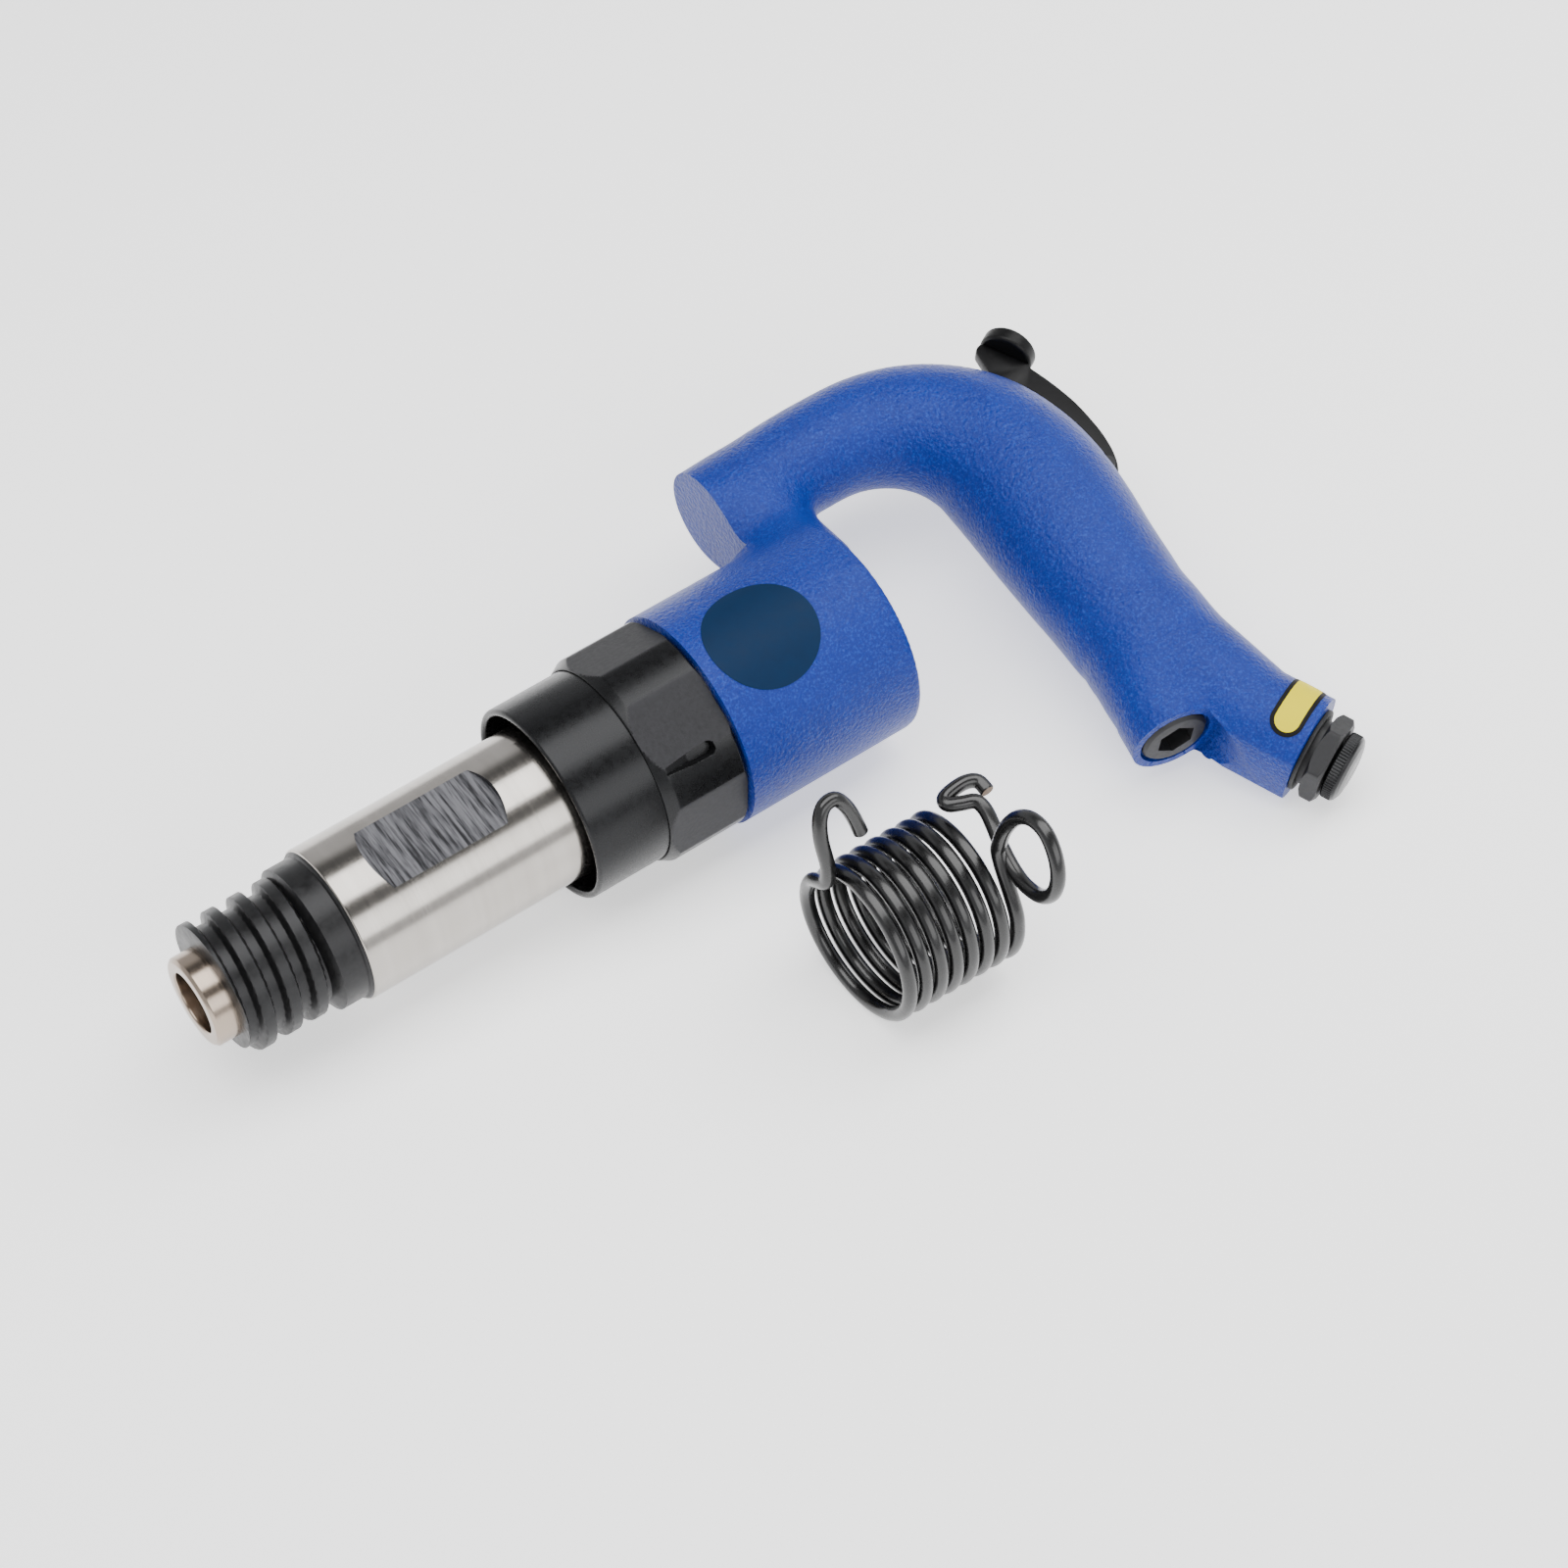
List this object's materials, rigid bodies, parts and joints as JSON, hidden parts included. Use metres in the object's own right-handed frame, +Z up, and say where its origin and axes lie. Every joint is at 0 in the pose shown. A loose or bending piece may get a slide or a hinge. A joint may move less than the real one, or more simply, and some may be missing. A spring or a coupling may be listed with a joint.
{
  "type": "pneumatic chipping hammer",
  "caption": "Air-driven chipping hammer with a cast gooseneck handle, thumb lever, ground barrel, threaded nose and a separate coiled retainer spring, lying on its side",
  "frame": {"origin": "centre of the shank bore's mouth, on the barrel's axis", "axes": "+X rearwards along the barrel, +Y towards the arch of the handle, +Z up from the surface that the tool lies on"},
  "size_m": [0.3087, 0.1841, 0.0671],
  "materials": {
    "blue_enamel": "gloss enamel over a cast surface",
    "tool_steel": "ground and turned",
    "black_oxide": "satin black oxide",
    "black_spring_steel": "gloss black",
    "brass": "turned",
    "rubber": "matte",
    "navy_label": "satin film",
    "yellow_label": "gloss film"
  },
  "bodies": {
    "tool": {"handle_casting": "blue_enamel", "barrel": "tool_steel", "chisel_bushing": "tool_steel", "valve_box_front": "tool_steel", "valve_box_rear": "tool_steel", "valve_dowels": "tool_steel", "valve_box_seal": "rubber", "exhaust_sleeve": "black_oxide", "lock_collar": "black_oxide", "lever_pin": "tool_steel", "plunger_bush": "brass", "plunger_seal": "rubber", "valve_seat_bush": "brass", "throttle_spring": "tool_steel", "bottom_plug": "black_oxide", "plug_seal": "rubber", "inlet_bushing": "black_oxide", "inlet_seal": "rubber", "inlet_strainer": "brass", "head_label": "navy_label", "oil_label": "yellow_label"},
    "piston": {"piston": "tool_steel"},
    "cycle_valve": {"cycle_valve": "tool_steel"},
    "throttle_lever": {"throttle_lever": "black_oxide"},
    "throttle_plunger": {"throttle_plunger": "tool_steel"},
    "throttle_valve": {"throttle_valve": "brass"},
    "inlet_cap": {"inlet_cap": "black_oxide"},
    "retainer_spring": {"retainer_spring": "black_spring_steel"}
  },
  "joints": [
    {"name": "piston_slide", "type": "slide", "parent": "tool", "child": "piston", "axis": [-1, 0, 0], "range_m": [0, 0.072]},
    {"name": "cycle_valve_slide", "type": "slide", "parent": "tool", "child": "cycle_valve", "axis": [1, 0, 0], "range_m": [0, 0.0024]},
    {"name": "lever_hinge", "type": "hinge", "parent": "tool", "child": "throttle_lever", "pos_m": [0.2994, 0.00158, 0.00026], "axis": [0, -0.161, 0.987], "range_deg": [0, 8], "stiffness_Nm_per_rad": 2, "springref_deg": -5.73, "deforming": ["throttle_spring"]},
    {"name": "plunger_slide", "type": "slide", "parent": "tool", "child": "throttle_plunger", "axis": [-0.1959, -0.9678, -0.1579], "range_m": [0, 0.0029]},
    {"name": "throttle_valve_slide", "type": "slide", "parent": "tool", "child": "throttle_valve", "axis": [-0.1959, -0.9678, -0.1579], "range_m": [0, 0.0029]},
    {"name": "inlet_cap_pull", "type": "slide", "parent": "tool", "child": "inlet_cap", "axis": [0.3939, -0.9071, -0.148], "range_m": [0, 0.02]},
    {"name": "retainer_spring_lift", "type": "slide", "parent": "tool", "child": "retainer_spring", "axis": [0, 0, 1], "range_m": [0, 0.1]}
  ],
  "couplings": [
    {"joint": "plunger_slide", "follows": "lever_hinge", "m_per_rad": 0.020054},
    {"joint": "throttle_valve_slide", "follows": "lever_hinge", "m_per_rad": 0.020054}
  ]
}
